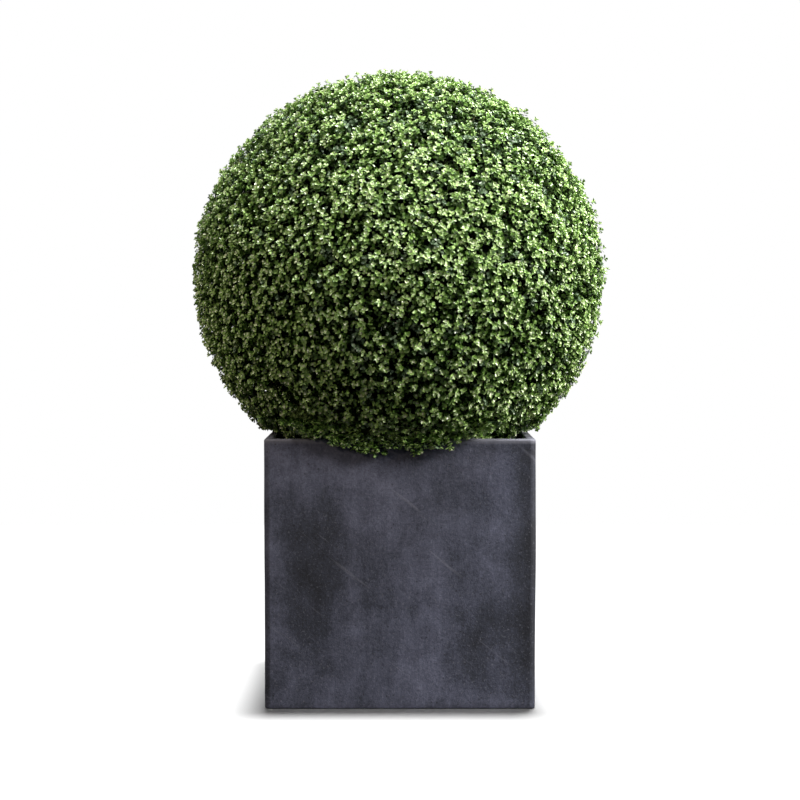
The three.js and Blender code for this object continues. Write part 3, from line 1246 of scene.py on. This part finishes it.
def aimed_light(name, at, size, power, colour):
    """A round soft light of a width in metres and a power in watts, aimed at the ball."""
    light = bpy.data.lights.new(name, "AREA")
    light.shape = "DISK"
    light.size = size
    light.energy = power
    light.color = linear(colour)[:3]
    stand = bpy.data.objects.new(name, light)
    stand.location = at
    aim = Vector(CENTRE) - Vector(at)
    stand.rotation_mode = "QUATERNION"
    stand.rotation_quaternion = aim.to_track_quat("-Z", "Y")
    bpy.context.collection.objects.link(stand)
    return stand


def make_floor():
    """A plain white floor that throws no light back up at the object."""
    bm = bmesh.new()
    bmesh.ops.create_grid(bm, x_segments=1, y_segments=1, size=FLOOR_HALF)
    mesh = mesh_of("floor", bm)
    finish, tree = bare_finish("studio_floor_white")
    matt = {"Base Color": linear("#F4F4F4"), "Roughness": 1.0}
    show(tree, add(tree, "ShaderNodeBsdfPrincipled", matt))
    mesh.materials.append(finish)
    floor = bpy.data.objects.new("floor", mesh)
    bpy.context.collection.objects.link(floor)
    floor.visible_diffuse = False
    floor.visible_glossy = False


def make_room_light():
    """White to look at, and a soft dome that is brightest above and to the right."""
    world = bpy.data.worlds.new("studio")
    world.use_nodes = True
    tree = world.node_tree
    tree.nodes.clear()
    way = add(tree, "ShaderNodeTexCoord").outputs["Generated"]
    toward = add(
        tree, "ShaderNodeVectorMath", {0: way, 1: ROOM_TOWARDS}, operation="DOT_PRODUCT"
    )
    dome = add(
        tree,
        "ShaderNodeMapRange",
        {
            "Value": toward.outputs["Value"],
            "From Min": ROOM_FROM,
            "From Max": ROOM_TO,
            "To Min": ROOM_DIM,
            "To Max": ROOM_BRIGHT,
        },
    )
    soft = add(
        tree, "ShaderNodeBackground", {"Color": linear("#FFFFFF"), "Strength": dome.outputs[0]}
    )
    white = add(tree, "ShaderNodeBackground", {"Color": linear("#FFFFFF"), "Strength": 1.0})
    seen = add(tree, "ShaderNodeLightPath")
    both = add(
        tree,
        "ShaderNodeMixShader",
        {0: seen.outputs["Is Camera Ray"], 1: soft.outputs[0], 2: white.outputs[0]},
    )
    add(tree, "ShaderNodeOutputWorld", {"Surface": both.outputs[0]})
    bpy.context.scene.world = world
    bpy.context.scene.view_settings.view_transform = "Standard"


def lot_of(name, pieces, state):
    """A collection of pieces that a light is to reach, or that it is to leave out."""
    lot = bpy.data.collections.new(name)
    for each in pieces:
        lot.objects.link(bpy.data.objects[each])
    for each in lot.collection_objects:
        each.light_linking.link_state = state
    return lot


def make_lights():
    """Soft discs on the object, and one on the floor, where only the planter shades it.

    Each light's name is followed by its place, its width, its power and its colour.
    """
    on_object = [
        aimed_light("key_right", (3.9, -1.4, 2.6), 1.8, 295, "#FFFAF0"),
        aimed_light("overhead", (1.1, -0.9, 4.5), 1.4, 246, "#FFFFFF"),
        aimed_light("front_fill", (-3.0, -3.2, 2.3), 0.5, 26, "#FFE8CC"),
        aimed_light("left_edge", (-2.6, -1.8, 4.0), 0.4, 48, "#FFF4E4"),
        aimed_light("back_fill", (-1.5, 4.5, 3.0), 1.2, 120, "#FFFFFF"),
    ]
    but_floor = lot_of("all_but_the_floor", ["floor"], "EXCLUDE")
    for light in on_object:
        light.light_linking.receiver_collection = but_floor
    wash = aimed_light("floor_wash", (0.35, 1.35, 12.0), 2.2, 1860, "#FFFFFF")
    wash.light_linking.receiver_collection = lot_of("washed", ["floor"], "INCLUDE")
    wash.light_linking.blocker_collection = lot_of("shading", ["planter_cast"], "INCLUDE")


# ---------------------------------------------------------------- the whole object


set_camera()
make_floor()
make_room_light()
make_planter()
make_lights()
piece("compost_fill", compost_mesh(), compost_finish(), "compost")
weathered_bark = bark_finish()
piece("stem_bark", stem_mesh(), weathered_bark, "stem")
make_ball(weathered_bark)
